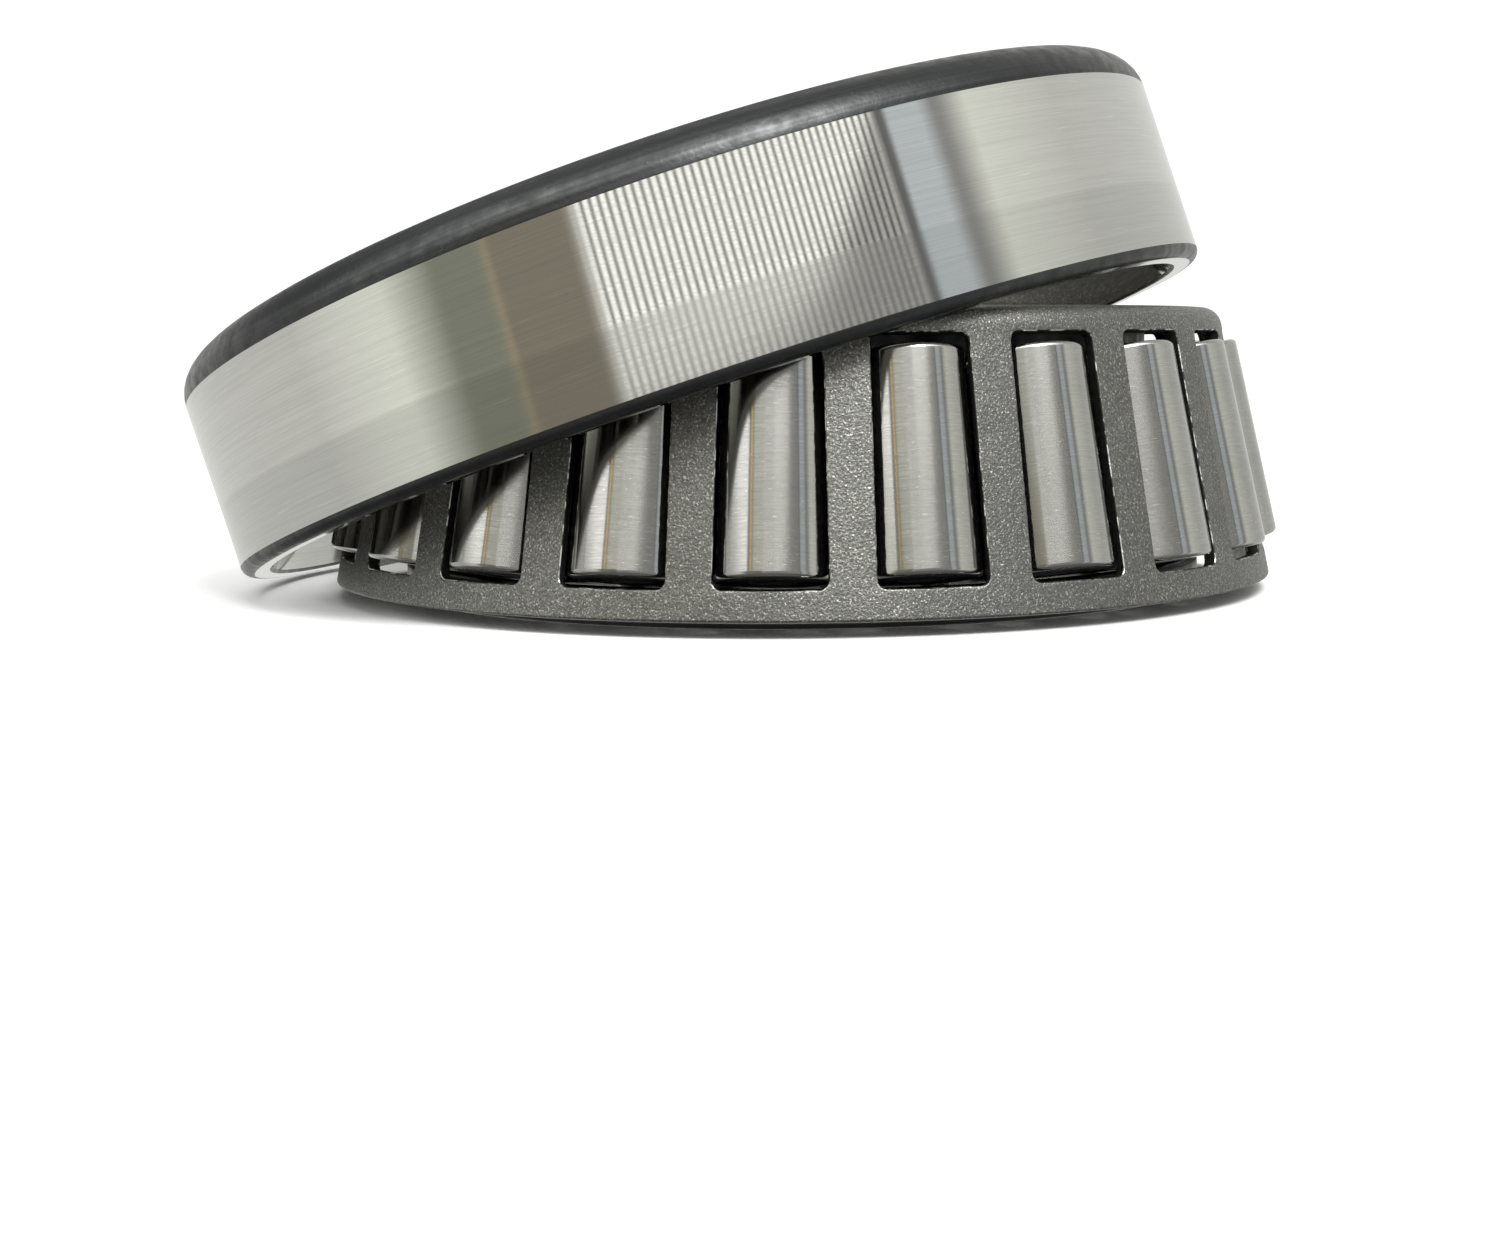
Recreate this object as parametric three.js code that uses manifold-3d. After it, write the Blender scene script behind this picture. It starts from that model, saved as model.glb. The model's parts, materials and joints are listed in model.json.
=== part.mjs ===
// Tapered roller bearing, with its parts apart as on a bench. The cone (inner ring), its rollers and
// their pressed steel cage stand on the cone's back face. The separable cup (outer ring) leans on them,
// with its low side on the floor.
// Millimetres, +Z up along the cone's axis. The cup leans in the XZ plane, with its low side towards -X.
// The cup race, the roller axes and the cone race all run to one apex on the cone's axis.
import * as THREE from "three";
import { mergeVertices } from "three/addons/utils/BufferGeometryUtils.js";
import Module from "manifold-3d";

// Driving dimensions. They make a bearing of bore 66.675, outside diameter 112.712 and width 30.162.
const BORE_DIAMETER = 66.675;
const CONE_WALL = 8.12; // from the bore to the rollers, at their large ends
const CUP_ANGLE = 12.77; // half the angle of the cup race, in degrees
const ROLLER_COUNT = 21;
const FIRST_ROLLER = 8; // the first roller's place around the cone's axis, in degrees from +X
const ROLLER_DIAMETER = 11.7; // at the large end
const ROLLER_LENGTH = 21.7;
const ROLLER_EDGE = 0.5; // break on a roller's end edges
const ROLLER_SPACING = 1.6; // least space between the large ends of two neighbours
const RUNNING_GAP = 0.15; // between a roller and each race
const END_GAP = 0.25; // between a roller's ends and the cone's ribs

const LARGE_RIB_WIDTH = 4.6; // from the back face to the middle of the roller's large end, less END_GAP
const LARGE_RIB_HEIGHT = 3.15; // above the race
const SMALL_RIB_WIDTH = 3.674; // from the middle of the roller's small end, plus END_GAP, to the front face
const SMALL_RIB_HEIGHT = 0.95;
const CONE_BACK_CORNER = 3.5; // corner radius at the bore
const CONE_FRONT_CORNER = 0.8;
const RIB_EDGE = 0.6;

const CUP_SETBACK = 0.346; // the seated cup's mouth, above the rollers' lowest working edge
const CUP_BACK_MARGIN = 2.989; // the seated cup's back face, above the rollers' highest working edge
const CUP_LIP = 3.238; // wall at the mouth
const CUP_BACK_CORNER = 4.0;
const CUP_MOUTH_CORNER = 1.2;
const CUP_INNER_EDGE = 0.4;

const CAGE_SHEET = 1.5;
const CAGE_SINK = 1.48; // how far the rollers stand out of the cage, at their middles
const CAGE_BOTTOM_BAND = 2.93; // below the pockets
const CAGE_TOP_BAND = 2.5; // above the pockets
const CAGE_BEND = 2.2; // outer radius of the bend at the small end
const CAGE_LIP_GAP = 1.1; // between the turned-in lip and the cone's small rib
const POCKET_END_GAP = 1.1;
const POCKET_SIDE_GAP = 0.32; // at the sheet's inner face
const POCKET_WALL_LEAN = 0.17; // how far each long wall leans over the roller

const CUP_SHIFT = 12.92; // the leaning cup's centre, from the cone's axis
const LEAN_GAP = 0.3; // between the leaning cup and what it leans on
const FLOOR_GAP = 0.3; // under the leaning cup's lowest edge

const RING_SEGMENTS = 4 * ROLLER_COUNT;
const ROLLER_SEGMENTS = 18;
const ARC_STEPS = 3;
const SMALL_CORNER = 1.3; // a corner radius below this is a single flat

// The shared cones.
const cupAngle = THREE.MathUtils.degToRad(CUP_ANGLE);
const rollerRadius = ROLLER_DIAMETER / 2;
const ringRadius = Math.max(
  BORE_DIAMETER / 2 + CONE_WALL + rollerRadius,
  (ROLLER_COUNT * (ROLLER_DIAMETER + ROLLER_SPACING)) / (2 * Math.PI),
);
let taper = 0; // half the roller's own angle
for (let pass = 0; pass < 30; pass++) {
  taper = Math.atan((rollerRadius * Math.sin(cupAngle - taper)) / ringRadius);
}
const axisAngle = cupAngle - taper;
const raceAngle = axisAngle - taper;
const smallRadius = rollerRadius - ROLLER_LENGTH * Math.tan(taper);
const middleRadius = (rollerRadius + smallRadius) / 2;
const rollerBase = new THREE.Vector2(ringRadius, LARGE_RIB_WIDTH + END_GAP);
const apexHeight = rollerBase.y + ringRadius / Math.tan(axisAngle);

// A point in a roller's plane: so far up its axis from the large end, and so far out from the axis.
function onRoller(along, out) {
  return new THREE.Vector2(
    rollerBase.x - along * Math.sin(axisAngle) + out * Math.cos(axisAngle),
    rollerBase.y + along * Math.cos(axisAngle) + out * Math.sin(axisAngle),
  );
}

// Radius at a height on a cone from the apex, moved out by a distance square to its line.
function coneRadius(angle, height, out = 0) {
  return (apexHeight - height) * Math.tan(angle) + out / Math.cos(angle);
}

// A closed outline in the (radius, height) plane from corners [radius, height, corner radius].
function outline(corners) {
  const points = [];
  corners.forEach(([x, y, radius = 0], i) => {
    const corner = new THREE.Vector2(x, y);
    const before = corners[(i + corners.length - 1) % corners.length];
    const after = corners[(i + 1) % corners.length];
    const back = new THREE.Vector2(before[0], before[1]).sub(corner).normalize();
    const on = new THREE.Vector2(after[0], after[1]).sub(corner).normalize();
    const half = Math.acos(THREE.MathUtils.clamp(back.dot(on), -1, 1)) / 2;
    if (!radius) {
      points.push(corner);
      return;
    }
    const centre = back.clone().add(on).normalize().multiplyScalar(radius / Math.sin(half)).add(corner);
    const start = corner.clone().addScaledVector(back, radius / Math.tan(half)).sub(centre);
    const end = corner.clone().addScaledVector(on, radius / Math.tan(half)).sub(centre);
    const steps = radius < SMALL_CORNER ? 1 : ARC_STEPS;
    let turn = end.angle() - start.angle();
    if (turn > Math.PI) turn -= 2 * Math.PI;
    if (turn < -Math.PI) turn += 2 * Math.PI;
    for (let k = 0; k <= steps; k++) {
      points.push(start.clone().rotateAround(new THREE.Vector2(), (turn * k) / steps).add(centre));
    }
  });
  return points;
}

// A solid of revolution about Z. Its outline runs anticlockwise in the (radius, height) plane.
function turned(points, segments) {
  return new THREE.LatheGeometry(points, segments).rotateX(Math.PI / 2);
}

function ring(corners) {
  const points = outline(corners);
  return turned([...points, points[0]], RING_SEGMENTS);
}

const wasm = await Module();
wasm.setup();

function toSolid(geometry) {
  const position = geometry.toNonIndexed().getAttribute("position");
  const merged = mergeVertices(new THREE.BufferGeometry().setAttribute("position", position), 1e-4);
  return new wasm.Manifold(
    new wasm.Mesh({
      numProp: 3,
      vertProperties: merged.getAttribute("position").array,
      triVerts: new Uint32Array(merged.index.array),
    }),
  );
}

function toGeometry(solid) {
  const mesh = solid.getMesh();
  const geometry = new THREE.BufferGeometry();
  geometry.setAttribute("position", new THREE.BufferAttribute(mesh.vertProperties, 3));
  geometry.setIndex(new THREE.BufferAttribute(mesh.triVerts, 1));
  return geometry;
}

// Cone: the back face is at height 0.
const coneWidth = onRoller(ROLLER_LENGTH, 0).y + END_GAP + SMALL_RIB_WIDTH;
const boreRadius = BORE_DIAMETER / 2;

// Height of a rib's face, which lies along the roller's end, at a radius.
function ribFace(along, radius) {
  const end = onRoller(along, 0);
  return end.y + (radius - end.x) * Math.tan(axisAngle);
}

function coneGeometry() {
  const lowRace = coneRadius(raceAngle, rollerBase.y, -RUNNING_GAP);
  const highRace = coneRadius(raceAngle, onRoller(ROLLER_LENGTH, 0).y, -RUNNING_GAP);
  const largeRib = lowRace + LARGE_RIB_HEIGHT;
  const lowFoot = ribFace(-END_GAP, lowRace);
  const highFoot = ribFace(ROLLER_LENGTH + END_GAP, highRace);
  const smallRib = highRace + SMALL_RIB_HEIGHT;
  return ring([
    [boreRadius, 0, CONE_BACK_CORNER],
    [largeRib, 0, RIB_EDGE],
    [largeRib, ribFace(-END_GAP, largeRib), RIB_EDGE],
    [coneRadius(raceAngle, lowFoot, -RUNNING_GAP), lowFoot],
    [coneRadius(raceAngle, highFoot, -RUNNING_GAP), highFoot],
    [smallRib, ribFace(ROLLER_LENGTH + END_GAP, smallRib)],
    [smallRib, coneWidth, RIB_EDGE],
    [boreRadius, coneWidth, CONE_FRONT_CORNER],
  ]);
}

// Roller: it stands on the middle of its large end, with its axis up.
function rollerGeometry() {
  const edge = ROLLER_EDGE;
  const points = [
    [0, 0],
    [rollerRadius - edge, 0],
    [rollerRadius, edge],
    [smallRadius, ROLLER_LENGTH - edge],
    [smallRadius - edge, ROLLER_LENGTH],
    [0, ROLLER_LENGTH],
  ];
  return turned(points.map(([x, y]) => new THREE.Vector2(x, y)), ROLLER_SEGMENTS);
}

// Cage: a tapered sheet outside the roller axes, turned in at the small end, with a pocket per roller.
const cageOut = middleRadius - CAGE_SINK;
const cageIn = cageOut - CAGE_SHEET;
const cageBottom = onRoller(-POCKET_END_GAP, cageOut).y - CAGE_BOTTOM_BAND;
const cageTop = onRoller(ROLLER_LENGTH + POCKET_END_GAP, cageOut).y + CAGE_TOP_BAND;
const cageUnder = cageTop - CAGE_SHEET;

function cageShell() {
  const highRace = coneRadius(raceAngle, onRoller(ROLLER_LENGTH, 0).y, -RUNNING_GAP);
  const lip = highRace + SMALL_RIB_HEIGHT + CAGE_LIP_GAP;
  return ring([
    [coneRadius(axisAngle, cageBottom, cageIn), cageBottom],
    [coneRadius(axisAngle, cageBottom, cageOut), cageBottom],
    [coneRadius(axisAngle, cageTop, cageOut), cageTop, CAGE_BEND],
    [lip, cageTop],
    [lip, cageUnder],
    [coneRadius(axisAngle, cageUnder, cageIn), cageUnder, CAGE_BEND - CAGE_SHEET],
  ]);
}

// One pocket's cutter, in its roller's own frame: X out, Y along the ring, Z up the roller's axis.
function pocketCutter() {
  const cutter = new THREE.BoxGeometry(1, 1, 1);
  const position = cutter.getAttribute("position");
  for (let i = 0; i < position.count; i++) {
    const out = position.getX(i) > 0 ? cageOut + CAGE_SHEET : cageIn - CAGE_SHEET;
    const along = position.getZ(i) > 0 ? ROLLER_LENGTH + POCKET_END_GAP : -POCKET_END_GAP;
    const radius = rollerRadius - along * Math.tan(taper);
    const inner = Math.sqrt(radius ** 2 - cageIn ** 2) + POCKET_SIDE_GAP;
    const half = inner - (POCKET_WALL_LEAN * (out - cageIn)) / CAGE_SHEET;
    position.setXYZ(i, out, Math.sign(position.getY(i)) * half, along);
  }
  return cutter;
}

// Places an object at one roller's seat.
function atRoller(object, index) {
  const turn = THREE.MathUtils.degToRad(FIRST_ROLLER) + (2 * Math.PI * index) / ROLLER_COUNT;
  object.position.set(ringRadius * Math.cos(turn), ringRadius * Math.sin(turn), rollerBase.y);
  object.rotation.set(0, -axisAngle, turn, "ZYX");
  object.updateMatrix();
  return object;
}

function cageGeometry() {
  let cage = toSolid(cageShell());
  for (let i = 0; i < ROLLER_COUNT; i++) {
    const seat = atRoller(new THREE.Object3D(), i);
    cage = cage.subtract(toSolid(pocketCutter().applyMatrix4(seat.matrix)));
  }
  return toGeometry(cage);
}

// Cup, in its own frame: the mouth is at height 0 and the back face is up.
const lowEdge = onRoller(0, rollerRadius);
const highEdge = onRoller(ROLLER_LENGTH, smallRadius);
const cupSeat = lowEdge.y + CUP_SETBACK;
const cupWidth = highEdge.y + CUP_BACK_MARGIN - cupSeat;
const cupRadius = coneRadius(cupAngle, cupSeat, RUNNING_GAP) + CUP_LIP;

function cupRace(height) {
  return coneRadius(cupAngle, cupSeat + height, RUNNING_GAP);
}

function cupGeometry() {
  return ring([
    [cupRace(0), 0, CUP_INNER_EDGE],
    [cupRadius, 0, CUP_MOUTH_CORNER],
    [cupRadius, cupWidth, CUP_BACK_CORNER],
    [cupRace(cupWidth), cupWidth, CUP_INNER_EDGE],
  ]);
}

// Where the cup's middle is when it leans by an angle, with its low side on the floor.
function leaningMiddle(angle) {
  const low = (cupRadius - CUP_MOUTH_CORNER) * Math.sin(angle) + (cupWidth / 2) * Math.cos(angle);
  return new THREE.Vector3(-CUP_SHIFT, 0, low + FLOOR_GAP);
}

// Least distance from the leaning cup to the top edges of the rollers and of the cage.
function leanClearance(angle) {
  const middle = leaningMiddle(angle);
  const level = new THREE.Quaternion().setFromAxisAngle(new THREE.Vector3(0, 1, 0), angle);
  const bend = CAGE_BEND * (1 - Math.SQRT1_2);
  const edges = [
    [highEdge.x, highEdge.y - ROLLER_EDGE],
    [highEdge.x - ROLLER_EDGE, highEdge.y],
    [coneRadius(axisAngle, cageTop, cageOut) - bend, cageTop - bend],
    [coneRadius(axisAngle, cageTop, cageOut) - CAGE_BEND, cageTop],
  ];
  let least = Infinity;
  for (const [radius, height] of edges) {
    for (let turn = 0; turn < 2 * Math.PI; turn += Math.PI / 180) {
      const probe = new THREE.Vector3(radius * Math.cos(turn), radius * Math.sin(turn), height);
      probe.sub(middle).applyQuaternion(level);
      const out = Math.hypot(probe.x, probe.y);
      const up = probe.z + cupWidth / 2;
      const inside = (cupRace(up) - out) * Math.cos(cupAngle);
      const below = Math.hypot(up, Math.max(cupRace(0) - out, 0));
      least = Math.min(least, up > 0 ? inside : below);
    }
  }
  return least;
}

// The cup leans until it clears what it leans on by LEAN_GAP.
function leanAngle() {
  let low = 0;
  let high = Math.PI / 4;
  for (let pass = 0; pass < 40; pass++) {
    const middle = (low + high) / 2;
    if (leanClearance(middle) < LEAN_GAP) low = middle;
    else high = middle;
  }
  return high;
}

const groundSteel = new THREE.MeshStandardMaterial({ color: "#b9bbb8", roughness: 0.25, metalness: 1 });
const rollerSteel = new THREE.MeshStandardMaterial({ color: "#c4c5c2", roughness: 0.2, metalness: 1 });
const pressedSteel = new THREE.MeshStandardMaterial({ color: "#6f7173", roughness: 0.55, metalness: 1 });

function part(name, geometry, material) {
  const mesh = new THREE.Mesh(geometry, material);
  mesh.name = name;
  return mesh;
}

const bearing = new THREE.Group();
bearing.add(part("cone", coneGeometry(), groundSteel));
bearing.add(part("cage", cageGeometry(), pressedSteel));
for (let i = 0; i < ROLLER_COUNT; i++) {
  const number = String(i + 1).padStart(2, "0");
  bearing.add(atRoller(part("roller_" + number, rollerGeometry(), rollerSteel), i));
}

const cup = part("cup", cupGeometry().translate(0, 0, -cupWidth / 2), groundSteel);
const lean = leanAngle();
cup.position.copy(leaningMiddle(lean));
cup.rotation.y = -lean;
bearing.add(cup);

// The origin is the middle of the whole bearing's footprint, on the floor.
const assembly = new THREE.Group();
assembly.add(bearing);
const box = new THREE.Box3().setFromObject(bearing, true);
const footprint = box.getCenter(new THREE.Vector3());
bearing.position.set(-footprint.x, -footprint.y, -box.min.z);

export default assembly;
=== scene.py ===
"""Tapered roller bearing on a pale studio floor.

The caged rollers stand on the cone's large end, and the separable cup leans on them. Every piece is
turned or pressed about its own axis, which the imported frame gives. Metres, +Z up.
"""
import json
import math

import bmesh
import bpy
from mathutils import Matrix, Vector


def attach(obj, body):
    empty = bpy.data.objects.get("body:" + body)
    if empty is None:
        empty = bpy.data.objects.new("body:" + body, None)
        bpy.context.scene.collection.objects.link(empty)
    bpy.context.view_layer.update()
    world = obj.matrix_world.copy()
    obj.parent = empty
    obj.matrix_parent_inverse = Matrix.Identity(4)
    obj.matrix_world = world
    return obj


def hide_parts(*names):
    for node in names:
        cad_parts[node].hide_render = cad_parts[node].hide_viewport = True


bl_info = {
    "name": "Tapered Roller Bearing",
    "version": (1, 0, 0),
    "blender": (4, 5, 0),
    "location": "View3D > Sidebar > Bearing",
    "description": "Builds the rings, rollers and cage of a tapered roller bearing, and its studio",
    "category": "Add Mesh",
}

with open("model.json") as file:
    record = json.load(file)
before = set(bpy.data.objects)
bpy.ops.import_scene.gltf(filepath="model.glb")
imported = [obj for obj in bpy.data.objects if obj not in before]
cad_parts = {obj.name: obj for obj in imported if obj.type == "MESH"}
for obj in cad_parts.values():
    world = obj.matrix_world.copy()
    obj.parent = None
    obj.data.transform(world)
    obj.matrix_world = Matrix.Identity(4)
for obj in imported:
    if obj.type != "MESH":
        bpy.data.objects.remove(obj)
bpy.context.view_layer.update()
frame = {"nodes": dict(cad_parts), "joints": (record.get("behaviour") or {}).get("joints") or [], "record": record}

MM = 0.001
UP = Vector((0, 0, 1))
JOINTS = {joint["name"]: joint for joint in frame["joints"]}
MOUNTS = {mount["name"]: mount for mount in frame["record"]["mounts"]}
ROLLERS = sorted(node for node in frame["nodes"] if node.startswith("roller_"))
STAND = Vector(JOINTS["cage_turn"]["pos_m"])  # the cone's axis, on the floor

RING_STEPS = 252  # around a ring
ROLLER_STEPS = 72
ARC_STEPS = 8  # across a rounded corner
SHARP_ANGLE = math.radians(40)
SHEET_EDGE_ANGLE = math.radians(50)  # the cage's cut edges turn by more than this
NEAR = 1e-7  # points closer than this are one
LEVEL = 1e-6  # points this close to a line lie on it
PLACE = "own_place"  # a vertex's place in its piece's own frame, with Z along the piece's axis
AROUND = "around"  # a UV map with U around the axis


def spans(node, origin, axis):
    """A CAD node about a line: least and greatest distance from it, lowest and highest place on it."""
    distances, heights = [], []
    for vertex in frame["nodes"][node].data.vertices:
        offset = vertex.co - origin
        height = offset.dot(axis)
        distances.append((offset - height * axis).length)
        heights.append(height)
    return min(distances), max(distances), min(heights), max(heights)


def roller_seat(node):
    """The middle of a roller's large end, and the direction of its axis."""
    joint = JOINTS[node + "_turn"]
    return Vector(joint["pos_m"]), Vector(joint["axis"]).normalized()


def cup_seat():
    """The middle of the cup's mouth, and the direction of its axis, towards its back face."""
    mouth = Vector(MOUNTS["cup_mouth_face"]["pos_m"])
    return Vector((mouth.x, 0, mouth.z)), Vector(MOUNTS["cup_back_face"]["axis"]).normalized()


BORE_RADIUS, RIB_RADIUS, _, CONE_WIDTH = spans("cone", STAND, UP)
CAGE_LIP_RADIUS, CAGE_RADIUS, CAGE_BOTTOM, CAGE_TOP = spans("cage", STAND, UP)
_, CUP_RADIUS, _, CUP_WIDTH = spans("cup", *cup_seat())
_, ROLLER_RADIUS, _, ROLLER_LENGTH = spans(ROLLERS[0], *roller_seat(ROLLERS[0]))

# The shared cones, which all run to one apex on the cone's axis.
SEAT, SEAT_AXIS = roller_seat(ROLLERS[0])
RING_RADIUS = (SEAT - STAND).to_2d().length
AXIS_ANGLE = math.acos(SEAT_AXIS.z)
TAPER = math.atan(ROLLER_RADIUS * math.sin(AXIS_ANGLE) / RING_RADIUS)
RACE_ANGLE = AXIS_ANGLE - TAPER
CUP_ANGLE = AXIS_ANGLE + TAPER
APEX = SEAT.z + RING_RADIUS / math.tan(AXIS_ANGLE)
SMALL_RADIUS = ROLLER_RADIUS - ROLLER_LENGTH * math.tan(TAPER)


def linear(code, strength=1.0):
    """An sRGB colour code as linear red, green and blue, times a strength."""
    shares = [int(code[i : i + 2], 16) / 255 for i in (1, 3, 5)]
    return [strength * (s / 12.92 if s <= 0.04045 else ((s + 0.055) / 1.055) ** 2.4) for s in shares]


def size(name, description, default):
    """A length property, in metres."""
    return bpy.props.FloatProperty(
        name=name, description=description, default=default, min=0, precision=5, unit="LENGTH"
    )


def colour(name, description, code):
    """A colour property."""
    return bpy.props.FloatVectorProperty(
        name=name, description=description, default=linear(code), min=0, max=1, subtype="COLOR"
    )


class ConeSizes(bpy.types.PropertyGroup):
    """Sizes of the inner ring."""

    bore: size("Bore radius", "Radius of the shaft's bore", BORE_RADIUS)
    width: size("Width", "From the back face to the front face", CONE_WIDTH)
    large_rib: size("Large rib", "Outer radius of the rib that guides the rollers", RIB_RADIUS)
    small_rib: size("Small rib", "Height of the small rib above the race", 0.95 * MM)
    running_gap: size("Running gap", "Between the rollers and a race", 0.15 * MM)
    end_gap: size("End gap", "Between a roller's ends and the ribs", 0.25 * MM)
    back_corner: size("Back corner", "Corner radius at the back face's bore", 3.5 * MM)
    front_corner: size("Front corner", "Corner radius at the front face's bore", 0.8 * MM)
    rib_edge: size("Rib edge", "Rounding of the ribs' edges", 0.6 * MM)


class RollerSizes(bpy.types.PropertyGroup):
    """Sizes of one roller."""

    radius: size("Large radius", "Radius at the large end", ROLLER_RADIUS)
    small: size("Small radius", "Radius at the small end", SMALL_RADIUS)
    length: size("Length", "From end to end", ROLLER_LENGTH)
    edge: size("Edge", "Rounding of the end edges", 0.55 * MM)
    dish: size("Dish", "Radius of the shallow recess in each end", 2.4 * MM)
    dish_depth: size("Dish depth", "Depth of that recess", 0.25 * MM)


class CageSizes(bpy.types.PropertyGroup):
    """Sizes of the pressed cage."""

    radius: size("Bottom radius", "Outer radius at the bottom edge", CAGE_RADIUS)
    lip: size("Lip radius", "Inner radius of the turned-in lip", CAGE_LIP_RADIUS)
    bottom: size("Bottom", "Height of the bottom edge", CAGE_BOTTOM)
    top: size("Top", "Height of the lip's upper face", CAGE_TOP)
    sheet: size("Sheet", "Thickness of the sheet", 1.5 * MM)
    bend: size("Bend", "Outer radius of the bend at the lip", 2.2 * MM)
    end_gap: size("Pocket end gap", "From a roller's end to its pocket's end", 1.1 * MM)
    side_gap: size("Pocket side gap", "From a roller to its pocket's side, at the inner face", 0.32 * MM)
    lean: size("Pocket side lean", "How far a pocket's side leans over its roller", 0.17 * MM)
    corner: size("Pocket corner", "Corner radius of a pocket", 0.9 * MM)
    edge: size("Edge", "Rounding of the sheet's edges", 0.22 * MM)


class CupSizes(bpy.types.PropertyGroup):
    """Sizes of the outer ring."""

    radius: size("Outer radius", "Radius that seats in the housing", CUP_RADIUS)
    width: size("Width", "From the mouth to the back face", CUP_WIDTH)
    lip: size("Lip", "Wall at the mouth", 3.238 * MM)
    back_corner: size("Back corner", "Outer corner radius at the back face", 4.3 * MM)
    mouth_corner: size("Mouth corner", "Outer corner radius at the mouth", 1.2 * MM)
    inner_edge: size("Inner edge", "Rounding of the race's edges", 0.4 * MM)


class Finishes(bpy.types.PropertyGroup):
    """Colours of the metals and of the floor."""

    ground: colour("Ground steel", "Rings where the wheel has cut", "#cccbc7")
    ground_deep: colour("Ground steel, deep", "Between the grinding lines", "#a8a8a4")
    scale: colour("Hardened steel", "Corners left dark by the furnace", "#313232")
    roller: colour("Roller steel", "Rollers", "#abaaa6")
    roller_deep: colour("Roller steel, deep", "Between the rollers' grinding lines", "#868683")
    cage: colour("Cage steel", "Tumbled and phosphated sheet", "#767672")
    # Much darkened, this also gives the painted shade of the pocket walls.
    cage_deep: colour("Cage steel, deep", "Hollows of the sheet's grain", "#50504d")
    floor: colour("Floor", "Matt painted board", "#f7f7f6")


class BearingSettings(bpy.types.PropertyGroup):
    """All the bearing's settings."""

    cone: bpy.props.PointerProperty(type=ConeSizes, name="Cone", description="Inner ring")
    roller: bpy.props.PointerProperty(type=RollerSizes, name="Roller", description="Rollers")
    cage: bpy.props.PointerProperty(type=CageSizes, name="Cage", description="Pressed cage")
    cup: bpy.props.PointerProperty(type=CupSizes, name="Cup", description="Outer ring")
    finish: bpy.props.PointerProperty(type=Finishes, name="Finishes", description="Colours")


# Materials


MIDDLE = (0.3, 0.7)  # where most of a noise's values lie
MIX_INPUTS = (0, 6, 7)  # a colour mix's share, under colour and over colour, which share names with others
MIX_OUTPUT = 2
QUARTER_TURN = 0.25  # turns the grinding lines' smear along the axis


def add(tree, kind, inputs=None, stops=(), **settings):
    """Adds a node with its settings, its inputs as values or other nodes' outputs, and a ramp's stops."""
    made = tree.nodes.new(kind)
    for name, value in settings.items():
        setattr(made, name, value)
    for name, value in (inputs or {}).items():
        socket = made.inputs[name]
        if isinstance(value, bpy.types.NodeSocket):
            tree.links.new(value, socket)
        else:
            socket.default_value = (*value, 1) if socket.type == "RGBA" else value
    for i, (place, value) in enumerate(stops):
        elements = made.color_ramp.elements
        element = elements[i] if i < 2 else elements.new(place)  # a new ramp has two stops
        element.position = place
        element.color = (*value, 1)
    return made


def new_material(name):
    """An empty material's node tree and shader."""
    material = bpy.data.materials.new(name)
    material.use_nodes = True
    tree = material.node_tree
    tree.nodes.clear()
    shader = add(tree, "ShaderNodeBsdfPrincipled")
    add(tree, "ShaderNodeOutputMaterial", {"Surface": shader.outputs["BSDF"]})
    return material, tree, shader


def lines(tree, line, length, detail=3.0):
    """Noise in lines round the axis, so wide and about so long.

    Real grinding and turning lines are finer than any view of the whole bearing can show, so they are
    drawn a few times coarser.
    """
    place = add(tree, "ShaderNodeAttribute", attribute_name=PLACE).outputs["Vector"]
    axes = add(tree, "ShaderNodeSeparateXYZ", {"Vector": place}).outputs
    flat = add(tree, "ShaderNodeCombineXYZ", {"X": axes["X"], "Y": axes["Y"]}).outputs[0]
    radius = add(tree, "ShaderNodeVectorMath", {0: flat}, operation="LENGTH").outputs["Value"]
    scaled = []
    for socket, step in ((radius, line), (axes["Z"], line), (axes["X"], length), (axes["Y"], length)):
        steps = add(tree, "ShaderNodeMath", {0: socket, 1: 1 / step}, operation="MULTIPLY")
        scaled.append(steps.outputs[0])
    vector = add(tree, "ShaderNodeCombineXYZ", dict(zip("XYZ", scaled))).outputs[0]
    inputs = {"Vector": vector, "W": scaled[3], "Scale": 1.0, "Detail": detail}
    return add(tree, "ShaderNodeTexNoise", inputs, noise_dimensions="4D").outputs["Fac"]


def grain(tree, step, detail=2.0):
    """Noise with spots of one size in all directions, the finest drawn coarser than real, as lines are."""
    place = add(tree, "ShaderNodeTexCoord").outputs["Object"]
    inputs = {"Vector": place, "Scale": 1 / step, "Detail": detail}
    return add(tree, "ShaderNodeTexNoise", inputs).outputs["Fac"]


def over(pattern, span, least, most):
    """A map range's inputs that run from least to most over a span of the pattern's values."""
    start, end = span
    return {"Value": pattern, "From Min": start, "From Max": end, "To Min": least, "To Max": most}


def layered(tree, base, *coats):
    """A colour under coats of (pattern, span of its values, share at the start, share at the end, colour)."""
    for pattern, span, least, most, coat in coats:
        share = add(tree, "ShaderNodeMapRange", over(pattern, span, least, most)).outputs["Result"]
        inputs = dict(zip(MIX_INPUTS, (share, base, coat)))
        base = add(tree, "ShaderNodeMix", inputs, data_type="RGBA").outputs[MIX_OUTPUT]
    return base


def bumps(tree, *layers):
    """A normal from (height pattern, depth, strength) layers."""
    normal = None
    for height, depth, strength in layers:
        inputs = {"Height": height, "Distance": depth, "Strength": strength}
        if normal:
            inputs["Normal"] = normal
        normal = add(tree, "ShaderNodeBump", inputs).outputs["Normal"]
    return normal


def scaled_colour(shade, share):
    """A colour times a share."""
    return [part * share for part in shade]


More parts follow.
